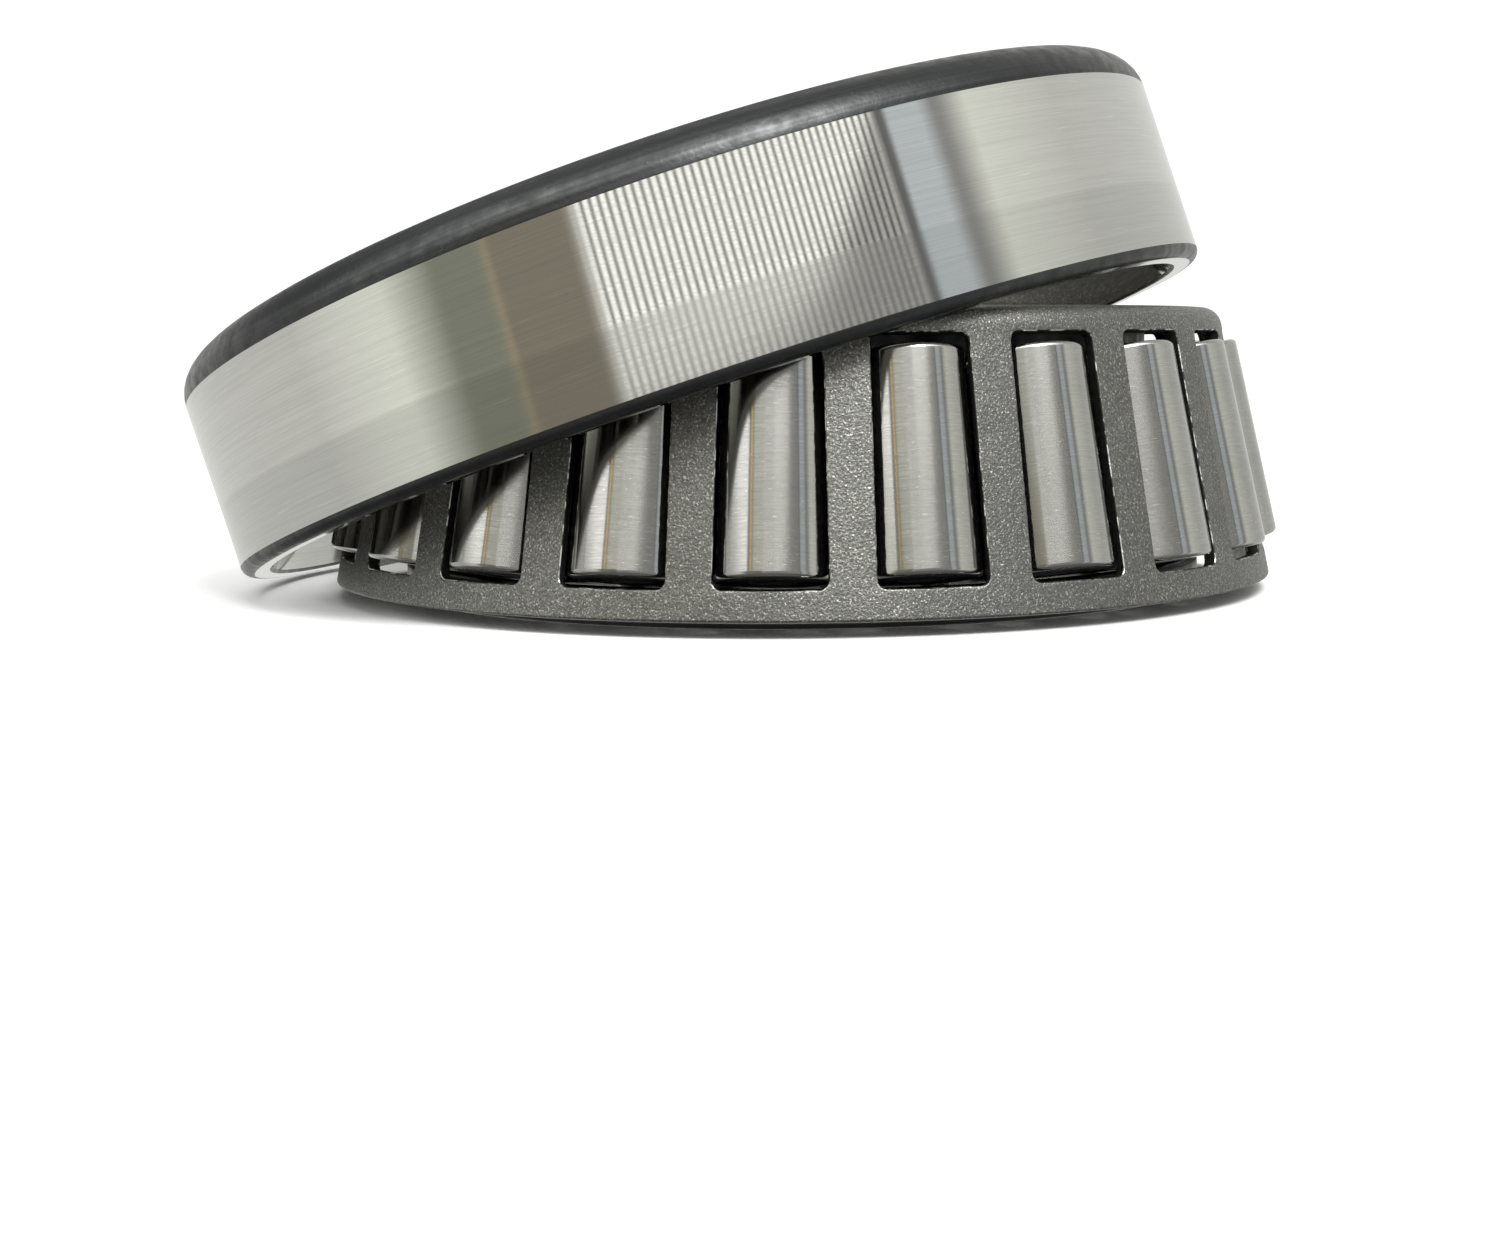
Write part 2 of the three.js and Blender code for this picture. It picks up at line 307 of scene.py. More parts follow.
def ground_steel(name, bright, deep, line, length, roughness, depth, stretch, band=0.0):
    """Hardened bearing steel, ground: bright and nearly a mirror, with fine lines round the axis.

    The lines smear reflections along the axis. Below the band's height the wheel left it duller and rougher; it is
    also darker there, partly from that duller pass and partly painted shade.
    """
    material, tree, shader = new_material(name)
    fine = lines(tree, line, length)
    broad = lines(tree, 2.2 * MM, 60 * MM, 2.0)
    scratch = lines(tree, line * 0.7, length * 0.4, 1.0)
    sparkle = grain(tree, 0.3 * MM)
    colour = layered(tree, bright, (fine, MIDDLE, 0.0, 0.4, deep), (broad, (0.35, 0.7), 0.0, 0.14, deep),
                     (scratch, (0.68, 0.78), 0.0, 0.4, linear("#fffffd")))
    rough = add(tree, "ShaderNodeMapRange", over(fine, MIDDLE, roughness * 0.85, roughness * 1.2))
    rough = rough.outputs["Result"]
    if band:
        place = add(tree, "ShaderNodeAttribute", attribute_name=PLACE).outputs["Vector"]
        height = add(tree, "ShaderNodeSeparateXYZ", {"Vector": place}).outputs["Z"]
        waver = add(tree, "ShaderNodeMath", {0: broad, 1: 0.4 * MM, 2: height}, operation="MULTIPLY_ADD")
        edge = (band - 0.3 * MM, band + 0.3 * MM)
        above = add(tree, "ShaderNodeMapRange", over(waver.outputs[0], edge, 0.0, 1.0)).outputs["Result"]
        # Darker below the band: partly the duller grinding pass, partly painted shade.
        colour = layered(tree, colour, (above, (0.0, 0.8), 0.3, 0.0, scaled_colour(deep, 0.78)))
        inputs = {0: above, 1: -0.35 * roughness, 2: rough}
        rough = add(tree, "ShaderNodeMath", inputs, operation="MULTIPLY_ADD").outputs[0]
    tree.links.new(colour, shader.inputs["Base Color"])
    tree.links.new(rough, shader.inputs["Roughness"])
    tree.links.new(bumps(tree, (fine, depth, 0.35), (sparkle, depth, 0.12)), shader.inputs["Normal"])
    tangent = add(tree, "ShaderNodeTangent", direction_type="UV_MAP", uv_map=AROUND)
    tree.links.new(tangent.outputs["Tangent"], shader.inputs["Tangent"])
    shader.inputs["Metallic"].default_value = 1.0
    shader.inputs["Anisotropic"].default_value = stretch
    shader.inputs["Anisotropic Rotation"].default_value = QUARTER_TURN
    return material


def furnace_steel(name, dark):
    """Hardened steel left as it came from the furnace: nearly black oxide over faint turning lines."""
    material, tree, shader = new_material(name)
    turning = lines(tree, 0.35 * MM, 40 * MM)
    cloud = grain(tree, 1.6 * MM, 4.0)
    nick = grain(tree, 0.5 * MM, 1.0)
    pale = linear("#b4b4b0")
    colour = layered(tree, dark, (turning, MIDDLE, 0.0, 0.7, scaled_colour(dark, 2.2)),
                     (cloud, MIDDLE, 0.0, 0.5, scaled_colour(dark, 0.5)), (nick, (0.8, 0.84), 0.0, 0.6, pale))
    rough = add(tree, "ShaderNodeMapRange", over(cloud, MIDDLE, 0.26, 0.44))
    relief = bumps(tree, (turning, 0.03 * MM, 0.4), (cloud, 0.05 * MM, 0.3), (nick, 0.08 * MM, 0.25))
    tree.links.new(colour, shader.inputs["Base Color"])
    tree.links.new(rough.outputs["Result"], shader.inputs["Roughness"])
    tree.links.new(relief, shader.inputs["Normal"])
    shader.inputs["Metallic"].default_value = 0.9
    return material


def pressed_steel(name, light, deep):
    """Low-carbon sheet, pressed, tumbled and phosphated: grey and sandy, with painted glints on some grains."""
    material, tree, shader = new_material(name)
    sand = grain(tree, 0.26 * MM, 3.0)
    cloud = grain(tree, 4 * MM, 3.0)
    painted_glint = grain(tree, 0.18 * MM, 0.0)
    # The last coat is painted glints: near-white specks that stand in for grains catching the light.
    colour = layered(tree, deep, (sand, MIDDLE, 0.0, 1.0, light), (cloud, MIDDLE, 0.0, 0.35, deep),
                     (painted_glint, (0.62, 0.76), 0.0, 0.35, linear("#dedcd2")))
    rough = add(tree, "ShaderNodeMapRange", over(sand, MIDDLE, 0.54, 0.36))
    tree.links.new(colour, shader.inputs["Base Color"])
    tree.links.new(rough.outputs["Result"], shader.inputs["Roughness"])
    tree.links.new(bumps(tree, (sand, 0.12 * MM, 0.6), (cloud, 0.15 * MM, 0.25)), shader.inputs["Normal"])
    shader.inputs["Metallic"].default_value = 0.9
    return material


def shaded_sheared_steel(name, deep):
    """The same sheet where the punch sheared it: dull and torn, and painted nearly black as the shade of the gaps
    where it is seen.
    """
    material, tree, shader = new_material(name)
    torn = grain(tree, 0.5 * MM, 4.0)
    # Painted shade: the deep colour cut to between 0.15 and 0.5 of itself, nearly black.
    colour = layered(tree, scaled_colour(deep, 0.15), (torn, MIDDLE, 0.0, 1.0, scaled_colour(deep, 0.5)))
    tree.links.new(colour, shader.inputs["Base Color"])
    tree.links.new(bumps(tree, (torn, 0.1 * MM, 0.5)), shader.inputs["Normal"])
    shader.inputs["Metallic"].default_value = 0.8
    shader.inputs["Roughness"].default_value = 0.55
    return material


def burred_steel(name, deep):
    """The sheared edges' corners, where tumbling left a thin burr that shines in broken stretches."""
    material, tree, shader = new_material(name)
    burr = grain(tree, 1.3 * MM, 4.0)
    colour = layered(tree, scaled_colour(deep, 0.6), (burr, (0.5, 0.6), 0.0, 1.0, linear("#e9e9e5")))
    rough = add(tree, "ShaderNodeMapRange", over(burr, MIDDLE, 0.5, 0.3))
    tree.links.new(colour, shader.inputs["Base Color"])
    tree.links.new(rough.outputs["Result"], shader.inputs["Roughness"])
    tree.links.new(bumps(tree, (grain(tree, 0.3 * MM), 0.08 * MM, 0.6)), shader.inputs["Normal"])
    shader.inputs["Metallic"].default_value = 0.95
    return material


def painted_board(name, shade):
    """Matt white paint on board, rolled: even and pale, with a trace of the roller's stipple."""
    material, tree, shader = new_material(name)
    stipple = grain(tree, 1.5 * MM, 3.0)
    colour = layered(tree, scaled_colour(shade, 0.985), (stipple, MIDDLE, 0.0, 1.0, shade))
    tree.links.new(colour, shader.inputs["Base Color"])
    tree.links.new(bumps(tree, (stipple, 0.02 * MM, 0.2)), shader.inputs["Normal"])
    shader.inputs["Roughness"].default_value = 0.75
    return material


# Shapes


def turned(corners, steps):
    """Turns a closed outline of (radius, height, corner radius) about Z."""
    bm = bmesh.new()
    outline = [bm.verts.new((radius, 0, height)) for radius, height, _ in corners]
    face = bm.faces.new(outline)
    for vert, (_, _, rounding) in zip(outline, corners):
        if rounding:
            before, after = [edge.other_vert(vert).co - vert.co for edge in vert.link_edges]
            half = before.angle(after) / 2
            bmesh.ops.bevel(bm, geom=[vert], offset=rounding / math.tan(half), segments=ARC_STEPS,
                            offset_type="OFFSET", profile=0.5, affect="VERTICES", material=-1)
    bmesh.ops.delete(bm, geom=list(bm.faces), context="FACES_ONLY")
    on_axis = [edge for edge in bm.edges if all(abs(vert.co.x) < NEAR for vert in edge.verts)]
    bmesh.ops.delete(bm, geom=on_axis, context="EDGES")
    bmesh.ops.spin(bm, geom=bm.verts[:] + bm.edges[:], cent=(0, 0, 0), axis=(0, 0, 1),
                   angle=2 * math.pi, steps=steps, use_merge=True)
    bmesh.ops.remove_doubles(bm, verts=bm.verts, dist=NEAR)
    return bm


def slope(face):
    """A face's normal in its (radius, height) plane."""
    middle = face.calc_center_median()
    outward = Vector((middle.x, middle.y, 0))
    outward.normalize()
    return face.normal.dot(outward), face.normal.z


def finish_piece(bm, name, seat, axis, materials, zone, body, node, slot):
    """Makes a mesh in its own frame a piece on its seat, which stands for one CAD node."""
    bmesh.ops.recalc_face_normals(bm, faces=bm.faces)
    place = bm.verts.layers.float_vector.new(PLACE)
    around = bm.loops.layers.uv.new(AROUND)
    reach = max(vert.co.to_2d().length for vert in bm.verts)
    for vert in bm.verts:
        vert[place] = vert.co
    for edge in bm.edges:
        edge.smooth = edge.calc_face_angle(0) < SHARP_ANGLE
    for face in bm.faces:
        face.smooth = True
        face.material_index = zone(face)
        middle = face.calc_center_median()
        for loop in face.loops:
            spot = loop.vert.co
            turn = math.atan2(middle.y, middle.x)
            if min(spot.to_2d().length, middle.to_2d().length) > NEAR:
                turn -= middle.to_2d().angle_signed(spot.to_2d(), 0)
            loop[around].uv = (turn * reach, spot.z - spot.to_2d().length)
    turn = UP.rotation_difference(axis).to_matrix().to_4x4()
    bm.transform(Matrix.Translation(seat) @ turn)
    mesh = bpy.data.meshes.new(name)
    bm.to_mesh(mesh)
    bm.free()
    piece = bpy.data.objects.new(name, mesh)
    bpy.context.scene.collection.objects.link(piece)
    for material in materials:
        mesh.materials.append(material)
    modifier = piece.modifiers.new("Even shading", "WEIGHTED_NORMAL")
    modifier.weight = 100
    modifier.keep_sharp = True
    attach(piece, body)
    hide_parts(node)
    return piece


def cone_radius(angle, height, out=0.0):
    """Radius at a height on a cone from the apex, moved out by a distance square to its line."""
    return (APEX - height) * math.tan(angle) + out / math.cos(angle)


def rib_face(along, radius):
    """Height of a rib's face, which lies along the rollers' ends, at a radius."""
    end_radius = RING_RADIUS - along * math.sin(AXIS_ANGLE)
    end_height = SEAT.z + along * math.cos(AXIS_ANGLE)
    return end_height + (radius - end_radius) * math.tan(AXIS_ANGLE)


def zone_of(*ground):
    """A face's material: 0 where its slope is one of the ground ones, else 1."""
    def zone(face):
        out, up = slope(face)
        turn = math.atan2(up, out)
        return 0 if any(abs(turn - angle) < math.radians(1) for angle in ground) else 1
    return zone


class BEARING_OT_cone(bpy.types.Operator):
    """Turns the inner ring: bore, two ribs and the tapered race between them"""

    bl_idname = "bearing.cone"
    bl_label = "Cone"

    def execute(self, context):
        settings = context.scene.bearing
        sizes = settings.cone
        length = settings.roller.length
        low = cone_radius(RACE_ANGLE, SEAT.z, -sizes.running_gap)
        high = cone_radius(RACE_ANGLE, SEAT.z + length * math.cos(AXIS_ANGLE), -sizes.running_gap)
        low_foot = rib_face(-sizes.end_gap, low)
        high_foot = rib_face(length + sizes.end_gap, high)
        small_rib = high + sizes.small_rib
        undercut = 0.25 * MM
        bm = turned([
            (sizes.bore, 0, sizes.back_corner),
            (sizes.large_rib, 0, sizes.rib_edge),
            (sizes.large_rib, rib_face(-sizes.end_gap, sizes.large_rib), sizes.rib_edge),
            (cone_radius(RACE_ANGLE, low_foot, -sizes.running_gap), low_foot, undercut),
            (cone_radius(RACE_ANGLE, high_foot, -sizes.running_gap), high_foot, undercut),
            (small_rib, rib_face(length + sizes.end_gap, small_rib), undercut),
            (small_rib, sizes.width, sizes.rib_edge),
            (sizes.bore, sizes.width, sizes.front_corner),
        ], RING_STEPS)
        colours = settings.finish
        materials = [
            ground_steel("Bearing steel, ground bore and race", colours.ground, colours.ground_deep,
                         0.16 * MM, 14 * MM, 0.2, 0.006 * MM, 0.9),
            furnace_steel("Bearing steel, furnace-dark ribs", colours.scale),
        ]
        ground = zone_of(math.pi / 2, -math.pi / 2, math.pi, -math.pi, RACE_ANGLE)
        finish_piece(bm, "inner_ring", STAND, UP, materials, ground, "cone", "cone", "ring_steel")
        return {"FINISHED"}


class BEARING_OT_rollers(bpy.types.Operator):
    """Grinds the tapered rollers and seats each on its own axis"""

    bl_idname = "bearing.rollers"
    bl_label = "Rollers"

    def execute(self, context):
        settings = context.scene.bearing
        sizes = settings.roller
        colours = settings.finish
        materials = [
            ground_steel("Roller steel, ground and honed", colours.roller, colours.roller_deep,
                         0.11 * MM, 1.6 * MM, 0.14, 0.005 * MM, 0.8),
            furnace_steel("Roller steel, dark end recess", colours.scale),
        ]
        dish = sizes.dish
        for node in ROLLERS:
            bm = turned([
                (0, sizes.dish_depth, 0),
                (dish * 0.8, sizes.dish_depth, dish * 0.1),
                (dish, 0, dish * 0.08),
                (sizes.radius, 0, sizes.edge),
                (sizes.small, sizes.length, sizes.edge),
                (dish, sizes.length, dish * 0.08),
                (dish * 0.8, sizes.length - sizes.dish_depth, dish * 0.1),
                (0, sizes.length - sizes.dish_depth, 0),
            ], ROLLER_STEPS)
            seat, axis = roller_seat(node)

            def zone(face):
                middle = face.calc_center_median()
                return 1 if middle.to_2d().length < dish * 0.95 else 0

            finish_piece(bm, "tapered_" + node, seat, axis, materials, zone, node, node, "roller_steel")
        return {"FINISHED"}


def sheet_point(sizes, along, depth):
    """Radius and height at a distance up the sheet's outer face, at a depth into the sheet."""
    knee = sizes.bend * math.tan((math.pi / 2 - AXIS_ANGLE) / 2)
    straight = (sizes.top - sizes.bottom) / math.cos(AXIS_ANGLE) - knee
    arc = sizes.bend * (math.pi / 2 - AXIS_ANGLE)
    foot = Vector((sizes.radius, sizes.bottom))
    up = Vector((-math.sin(AXIS_ANGLE), math.cos(AXIS_ANGLE)))
    if along <= straight:
        angle, point = AXIS_ANGLE, foot + up * along
    else:
        angle = AXIS_ANGLE + min(along - straight, arc) / sizes.bend
        first = Vector((math.cos(AXIS_ANGLE), math.sin(AXIS_ANGLE)))
        turned_to = Vector((math.cos(angle), math.sin(angle)))
        point = foot + up * straight + (turned_to - first) * sizes.bend
        point.x -= max(along - straight - arc, 0)
    return point - depth * Vector((math.cos(angle), math.sin(angle)))


def bend_start(sizes):
    """How far up the sheet its bend starts, and how long the bend is."""
    knee = sizes.bend * math.tan((math.pi / 2 - AXIS_ANGLE) / 2)
    start = (sizes.top - sizes.bottom) / math.cos(AXIS_ANGLE) - knee
    return start, sizes.bend * (math.pi / 2 - AXIS_ANGLE)


def pocket(sizes, roller):
    """A pocket's ends, up the sheet, with the half width at each, at the sheet's outer and inner face."""
    outer = (sizes.radius - cone_radius(AXIS_ANGLE, sizes.bottom)) * math.cos(AXIS_ANGLE)
    inner = outer - sizes.sheet
    foot_along = (sizes.bottom - SEAT.z - outer * math.sin(AXIS_ANGLE)) / math.cos(AXIS_ANGLE)
    ends = []
    for along in (-sizes.end_gap, roller.length + sizes.end_gap):
        radius = roller.radius - along * math.tan(TAPER)
        half = math.sqrt(radius**2 - inner**2) + sizes.side_gap
        ends.append((along - foot_along, half - sizes.lean, half))
    return ends


def cage_share(sizes, roller):
    """One pocket's share of the sheet, laid flat: X round the ring, Y up the sheet, Z out of it."""
    bm = bmesh.new()
    reach = sizes.radius
    (low, low_half, low_inner), (high, high_half, _) = pocket(sizes, roller)

    def turn(half, along, depth=0.0):
        return math.asin(half / sheet_point(sizes, along, depth).x) * reach

    flare = turn(low_inner, low, sizes.sheet) / turn(low_half, low)
    a, b = turn(low_half, low), turn(high_half, high)
    corners = [bm.verts.new(spot) for spot in ((-a, low, 0), (a, low, 0), (b, high, 0), (-b, high, 0))]
    bm.faces.new(corners)
    bmesh.ops.bevel(bm, geom=corners, offset=sizes.corner, offset_type="OFFSET", segments=4,
                    profile=0.5, affect="VERTICES", material=-1)
    bmesh.ops.delete(bm, geom=list(bm.faces), context="FACES_ONLY")
    for cuts, across in ((5, True), (3, False)):
        straight = [edge for edge in bm.edges if edge.calc_length() > 4 * sizes.corner
                    and (abs(edge.verts[0].co.y - edge.verts[1].co.y) < sizes.corner) == across]
        bmesh.ops.subdivide_edges(bm, edges=straight, cuts=cuts)
    rim = list(bm.edges)

    # The sheet round the pocket, out to a rectangle.
    side = math.pi / len(ROLLERS) * reach
    margin = 0.5 * MM
    made = bmesh.ops.extrude_edge_only(bm, edges=rim)["geom"]
    for vert in (item for item in made if isinstance(item, bmesh.types.BMVert)):
        core_y = min(max(vert.co.y, low + sizes.corner), high - sizes.corner)
        core_x = a + (b - a) * (core_y - low) / (high - low) - sizes.corner
        core = Vector((min(max(vert.co.x, -core_x), core_x), core_y, 0))
        way = vert.co - core
        # A little over 1, so that a corner's middle vertex goes to the rectangle's corner.
        longest = max(abs(way.x), abs(way.y)) / 1.1
        target = Vector((math.copysign(side, way.x), high + margin if way.y > 0 else low - margin, 0))
        for axis in (0, 1):
            share = min(abs(way[axis]) / longest, 1)
            vert.co[axis] = core[axis] + (target[axis] - core[axis]) * share

    # The bands below and above, round the bend and on to the lip.
    start, arc = bend_start(sizes)
    lip = start + arc + sheet_point(sizes, start + arc, 0).x - sizes.lip
    bend_rows = [start + arc * i / 7 for i in range(8)]
    for level, rows in ((low - margin, [0.0]), (high + margin, [*bend_rows, lip])):
        row = [edge for edge in bm.edges if all(abs(vert.co.y - level) < LEVEL for vert in edge.verts)]
        for target in rows:
            made = bmesh.ops.extrude_edge_only(bm, edges=row)["geom"]
            row = [item for item in made if isinstance(item, bmesh.types.BMEdge)
                   and all(vert in made for vert in item.verts)]
            for vert in (item for item in made if isinstance(item, bmesh.types.BMVert)):
                vert.co.y = target
    return bm, flare


def cage_ring(sizes, roller):
    """The whole cage about Z: each pocket's share given its thickness, rolled up and repeated."""
    bm, flare = cage_share(sizes, roller)
    (low, low_half, _), (high, _, _) = pocket(sizes, roller)
    for face in bm.faces:
        if face.normal.z < 0:
            face.normal_flip()
    made = bmesh.ops.extrude_face_region(bm, geom=list(bm.faces), use_keep_orig=True)["geom"]
    inner = [item for item in made if isinstance(item, bmesh.types.BMVert)]
    bmesh.ops.translate(bm, verts=inner, vec=(0, 0, -sizes.sheet))
    side = math.pi / len(ROLLERS) * sizes.radius
    seam = [face for face in bm.faces if all(abs(vert.co.x) > side - LEVEL for vert in face.verts)]
    bmesh.ops.delete(bm, geom=seam, context="FACES_ONLY")
    loose = [edge for edge in bm.edges if not edge.link_faces]
    bmesh.ops.delete(bm, geom=loose, context="EDGES")
    pocket_side = low_half * 1.1
    for vert in inner:
        if abs(vert.co.x) < pocket_side and low - LEVEL <= vert.co.y <= high + LEVEL:
            vert.co.x *= flare
    for vert in bm.verts:
        turn = vert.co.x / sizes.radius
        radius, height = sheet_point(sizes, vert.co.y, -vert.co.z)
        vert.co = (radius * math.cos(turn), radius * math.sin(turn), height)
    pitch = 2 * math.pi / len(ROLLERS)
    bmesh.ops.spin(bm, geom=bm.verts[:] + bm.edges[:] + bm.faces[:], cent=(0, 0, 0), axis=(0, 0, 1),
                   angle=2 * math.pi - pitch, steps=len(ROLLERS) - 1, use_duplicate=True)
    bmesh.ops.remove_doubles(bm, verts=bm.verts, dist=LEVEL)
    first = (SEAT - STAND).to_2d()
    bmesh.ops.rotate(bm, verts=bm.verts, matrix=Matrix.Rotation(math.atan2(first.y, first.x), 3, "Z"))
    bmesh.ops.recalc_face_normals(bm, faces=bm.faces)
    sharp = [edge for edge in bm.edges if edge.calc_face_angle(0) > SHEET_EDGE_ANGLE]
    bmesh.ops.bevel(bm, geom=sharp, offset=sizes.edge, offset_type="OFFSET", segments=3, profile=0.5,
                    affect="EDGES", material=-1, clamp_overlap=True)
    return bm


POCKETS_FROM, POCKETS_TO = 0.08, 0.9  # heights of the pockets, as shares of the cone's width
SHEET_TILT, WALL_TILT = 0.3, 0.97  # sine of a face's tilt from the sheet: flat below, a pocket's wall above


class BEARING_OT_cage(bpy.types.Operator):
    """Presses the cage from one sheet, with a pocket for each roller and a turned-in lip"""

    bl_idname = "bearing.cage"
    bl_label = "Cage"

    def execute(self, context):
        settings = context.scene.bearing
        colours = settings.finish
        bm = cage_ring(settings.cage, settings.roller)
        materials = [
            pressed_steel("Cage steel, pressed and phosphated", colours.cage, colours.cage_deep),
            shaded_sheared_steel("Cage steel, pocket walls in painted shade", colours.cage_deep),
            burred_steel("Cage steel, burred pocket edges", colours.cage_deep),
        ]

        def zone(face):
            out, up = slope(face)
            across = math.sqrt(max(0, 1 - out**2 - up**2))
            middle = face.calc_center_median()
            in_pockets = POCKETS_FROM < (middle.z - settings.cage.bottom) / CONE_WIDTH < POCKETS_TO
            along = abs(up * math.cos(AXIS_ANGLE) - out * math.sin(AXIS_ANGLE))
            sheared = math.hypot(across, along) if in_pockets else 0
            # Slot 1 holds the pocket walls, painted nearly black as shade; slot 2 the burred edges.
            return 0 if sheared < SHEET_TILT else 1 if sheared > WALL_TILT else 2

        finish_piece(bm, "pressed_cage", STAND, UP, materials, zone, "cage", "cage", "cage_steel")
        return {"FINISHED"}


class BEARING_OT_cup(bpy.types.Operator):
    """Turns the outer ring: ground outside, tapered race inside, dark rounded corners"""

    bl_idname = "bearing.cup"
    bl_label = "Cup"

    def execute(self, context):
        settings = context.scene.bearing
        sizes = settings.cup
        mouth = sizes.radius - sizes.lip
        back = mouth - sizes.width * math.tan(CUP_ANGLE)
        bm = turned([
            (mouth, 0, sizes.inner_edge),
            (sizes.radius, 0, sizes.mouth_corner),
            (sizes.radius, sizes.width, sizes.back_corner),
            (back, sizes.width, sizes.inner_edge),
        ], RING_STEPS)
        colours = settings.finish
        materials = [
            ground_steel("Bearing steel, centreless ground", colours.ground, colours.ground_deep,
                         0.12 * MM, 12 * MM, 0.075, 0.0015 * MM, 0.5, 0.34 * sizes.width),
            furnace_steel("Bearing steel, furnace-dark corners", colours.scale),
        ]
        ground = zone_of(0, math.pi / 2, -math.pi / 2, CUP_ANGLE - math.pi)
        finish_piece(bm, "outer_ring", *cup_seat(), materials, ground, "cup", "cup", "ring_steel")
        return {"FINISHED"}


# Studio

CAMERA_PLACE = Vector((78.0, -252.7, 26.77)) * MM
CAMERA_LOOKS = Vector((-0.28554, 0.95107, -0.11806))
CAMERA_ROLL = math.radians(-0.65)
CAMERA_LENS = 55.36  # mm, on a 36 mm sensor
FACING = math.atan2(-CAMERA_LOOKS.y, -CAMERA_LOOKS.x)  # from the bearing to the front of the studio

BLACK, WHITE = (0, 0, 0), (1, 1, 1)
WHOLE = (0, 1)  # the span of a share
WALL_CHANGE = (math.sin(math.radians(13)), math.sin(math.radians(17)))  # from the low wall to the high
SLAT_PITCH = math.radians(1.8)
SILL_SLOPE = -0.33  # the sill's rise for each radian round the studio
SILL_EDGE = (0.17, 0.19)


def studio_wall(*stops):
    """Ramp stops round the studio, from (degrees anticlockwise from the front, colour) pairs."""
    return [(angle / 360 + 0.5, shade) for angle, shade in stops]


def studio_world():
    """A white room whose light walls, slatted blind and dark gaps the polished steel mirrors.

    Only mirrored rays see the walls. All other rays see plain white.
    """
    world = bpy.data.worlds.new("Studio room")
    bpy.context.scene.world = world
    world.use_nodes = True
    tree = world.node_tree
    tree.nodes.clear()
    place = add(tree, "ShaderNodeTexCoord").outputs["Generated"]
    facing = add(tree, "ShaderNodeMapping", {"Vector": place, "Rotation": (0, 0, -FACING)})
    axes = add(tree, "ShaderNodeSeparateXYZ", {"Vector": facing.outputs[0]}).outputs
    turn = add(tree, "ShaderNodeMath", {0: axes["Y"], 1: axes["X"]}, operation="ARCTAN2").outputs[0]
    inputs = {0: turn, 1: 1 / (2 * math.pi), 2: 0.5}
    share = add(tree, "ShaderNodeMath", inputs, operation="MULTIPLY_ADD").outputs[0]

    # The walls, low down and higher up.
    wall = linear("#eaebe7")
    green = linear("#9b9e90")
    brown = linear("#9e9789")
    gold = linear("#cebf9b")
    window = linear("#e5edf2")
    grey = linear("#a2a4a2")
    bright_gold = linear("#ffd886", 1.9)
    shade = linear("#adadac")
    blind = linear("#fffffb", 1.85)
    gap = linear("#818181")
    warm = linear("#fdfff6", 1.12)
    to_the_right = ((49, blind), (50, gap), (52, gap), (53, window), (62, window), (66, shade),
                    (68, shade), (76, warm), (105, wall), (180, wall))
    stops = studio_wall((-180, wall), (-90, wall), (-68, warm), (-63, warm), (-50, green), (-39.5, green),
                        (-38.5, gold), (-37.5, brown), (-20, brown), (-17, blind), *to_the_right)
    low = add(tree, "ShaderNodeValToRGB", {"Fac": share}, stops).outputs["Color"]
    stops = studio_wall((-180, gap), (-75, grey), (-47, grey), (-46, bright_gold), (-44.5, bright_gold),
                        (-43, grey), (-39, warm), (-19, warm), (-17, blind), *to_the_right)
    high = add(tree, "ShaderNodeValToRGB", {"Fac": share}, stops).outputs["Color"]
    walls = layered(tree, low, (axes["Z"], WALL_CHANGE, 0.0, 1.0, high))

    # The blind's slats in front, dimmer below the sill.
    inputs = {0: turn, 1: 2 * math.pi / SLAT_PITCH}
    wave = add(tree, "ShaderNodeMath", inputs, operation="MULTIPLY").outputs[0]
    wave = add(tree, "ShaderNodeMath", {0: wave}, operation="SINE").outputs[0]
    slats = add(tree, "ShaderNodeMapRange", over(wave, (-0.9, 0.4), 0.12, 1.0)).outputs["Result"]
    inputs = {0: turn, 1: SILL_SLOPE, 2: axes["Z"]}
    sill = add(tree, "ShaderNodeMath", inputs, operation="MULTIPLY_ADD").outputs[0]
    dimmed = add(tree, "ShaderNodeMapRange", over(sill, SILL_EDGE, 0.4, 1.0)).outputs["Result"]
    slats = add(tree, "ShaderNodeMath", {0: slats, 1: dimmed}, operation="MULTIPLY").outputs[0]
    stops = studio_wall((-19, BLACK), (-17, WHITE), (49, WHITE), (51, BLACK))
    front = add(tree, "ShaderNodeValToRGB", {"Fac": share}, stops).outputs["Color"]
    slatted = layered(tree, WHITE, (front, WHOLE, 0.0, 1.0, slats))
    walls = add(tree, "ShaderNodeVectorMath", {0: walls, 1: slatted}, operation="MULTIPLY").outputs[0]

    # A bright ceiling ahead of the bearing, and a dark floor under it.
    dim_ceiling, ceiling, under = linear("#e1e1df"), linear("#fffffd", 3.6), linear("#818181")
    above = layered(tree, dim_ceiling, (axes["X"], (0.05, 0.3), 0.0, 1.0, ceiling))
    room = layered(tree, walls, (axes["Z"], (0.5, 0.75), 0.0, 1.0, above),
                   (axes["Z"], (-0.45, -0.65), 0.0, 1.0, under))
    mirrored = add(tree, "ShaderNodeLightPath").outputs["Is Glossy Ray"]
    shown = layered(tree, linear("#ffffff", 1.1), (mirrored, WHOLE, 0.0, 1.0, room))
    light = add(tree, "ShaderNodeBackground", {"Color": shown, "Strength": 1.0})
    add(tree, "ShaderNodeOutputWorld", {"Surface": light.outputs[0]})


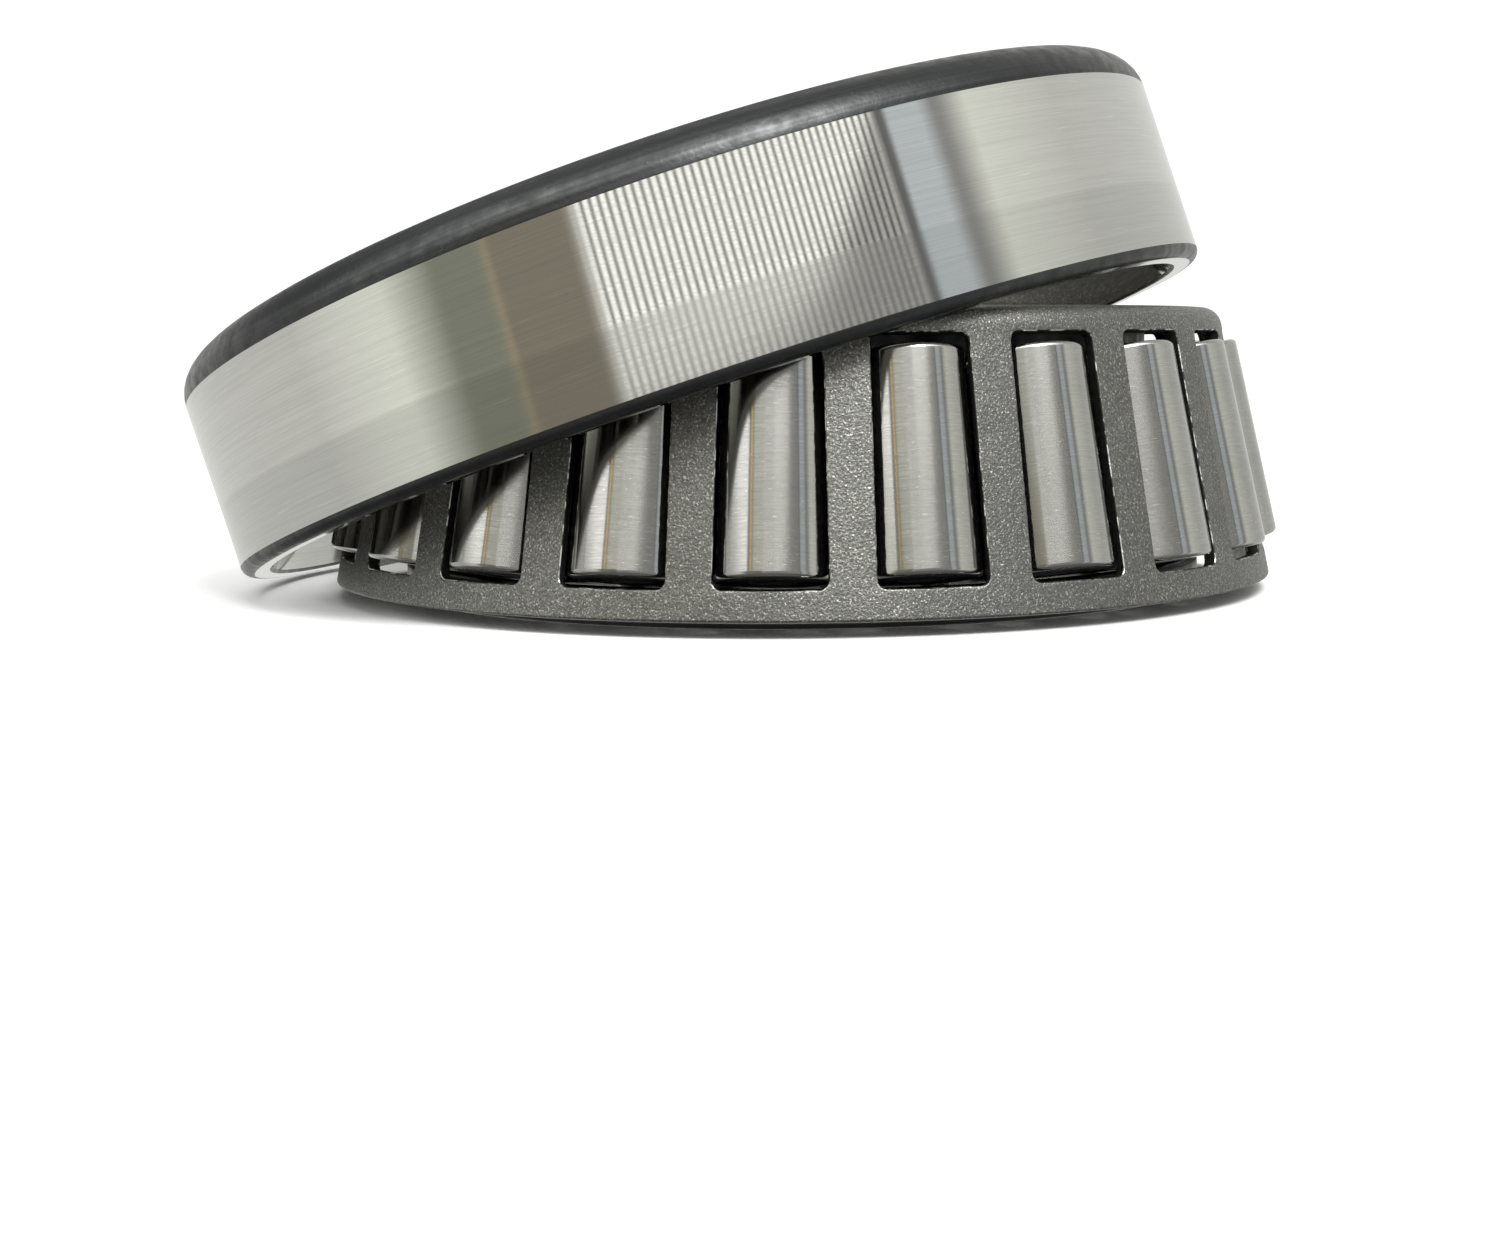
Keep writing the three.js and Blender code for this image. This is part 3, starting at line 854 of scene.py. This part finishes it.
def soft_box(name, turn, rise, away, width, watts):
    """A square soft light, so many degrees round from the front and up, aimed at the bearing."""
    light = bpy.data.lights.new(name, "AREA")
    light.size, light.energy = width, watts
    lamp = bpy.data.objects.new(name, light)
    bpy.context.scene.collection.objects.link(lamp)
    way = Matrix.Rotation(FACING + math.radians(turn), 3, "Z") @ Vector(
        (math.cos(math.radians(rise)), 0, math.sin(math.radians(rise))))
    lamp.location = STAND + way * away
    lamp.rotation_euler = way.to_track_quat("Z", "Y").to_euler()


class BEARING_OT_studio(bpy.types.Operator):
    """Lays the pale floor and sets up the white room, the soft lights and the camera"""

    bl_idname = "bearing.studio"
    bl_label = "Studio"

    def execute(self, context):
        bm = bmesh.new()
        bmesh.ops.create_circle(bm, cap_ends=True, segments=96, radius=2.5)
        bmesh.ops.translate(bm, verts=bm.verts, vec=STAND - UP * 0.02 * MM)
        mesh = bpy.data.meshes.new("floor")
        bm.to_mesh(mesh)
        bm.free()
        mesh.materials.append(painted_board("Floor board, matt paint", context.scene.bearing.finish.floor))
        floor = bpy.data.objects.new("floor", mesh)
        floor.visible_glossy = False
        context.scene.collection.objects.link(floor)

        studio_world()
        soft_box("Key light", 18, 48, 0.7, 0.3, 4.5)
        soft_box("Fill light", -70, 35, 0.8, 0.6, 2.0)

        camera = bpy.data.objects.new("Camera", bpy.data.cameras.new("Camera"))
        context.scene.collection.objects.link(camera)
        camera.location = CAMERA_PLACE
        look = CAMERA_LOOKS.to_track_quat("-Z", "Y").to_matrix()
        camera.rotation_euler = (look @ Matrix.Rotation(CAMERA_ROLL, 3, "Z")).to_euler()
        camera.data.lens = CAMERA_LENS
        camera.data.clip_start = 0.01
        context.scene.camera = camera
        context.scene.view_settings.view_transform = "Standard"
        return {"FINISHED"}


OPERATORS = (BEARING_OT_cone, BEARING_OT_cage, BEARING_OT_rollers, BEARING_OT_cup, BEARING_OT_studio)


class BEARING_PT_sidebar(bpy.types.Panel):
    """Lists the bearing's pieces in the 3D view's sidebar."""

    bl_idname = "BEARING_PT_sidebar"
    bl_label = "Tapered roller bearing"
    bl_space_type = "VIEW_3D"
    bl_region_type = "UI"
    bl_category = "Bearing"

    def draw(self, context):
        for operator in OPERATORS:
            self.layout.operator(operator.bl_idname)
        settings = context.scene.bearing
        for name in settings.bl_rna.properties.keys():
            group = getattr(settings, name)
            if isinstance(group, bpy.types.PropertyGroup):
                box = self.layout.box()
                for item in group.bl_rna.properties.keys():
                    if item not in ("rna_type", "name"):
                        box.prop(group, item)


GROUPS = (ConeSizes, RollerSizes, CageSizes, CupSizes, Finishes, BearingSettings)


def register():
    """Registers the settings, the operators and the panel."""
    for kind in (*GROUPS, *OPERATORS, BEARING_PT_sidebar):
        bpy.utils.register_class(kind)
    bpy.types.Scene.bearing = bpy.props.PointerProperty(type=BearingSettings)


def unregister():
    """Removes them again."""
    del bpy.types.Scene.bearing
    for kind in (BEARING_PT_sidebar, *reversed(OPERATORS), *reversed(GROUPS)):
        bpy.utils.unregister_class(kind)


def main():
    """Registers the add-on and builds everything."""
    register()
    bpy.ops.bearing.cone()
    bpy.ops.bearing.cage()
    bpy.ops.bearing.rollers()
    bpy.ops.bearing.cup()
    bpy.ops.bearing.studio()


if __name__ == "__main__":
    main()
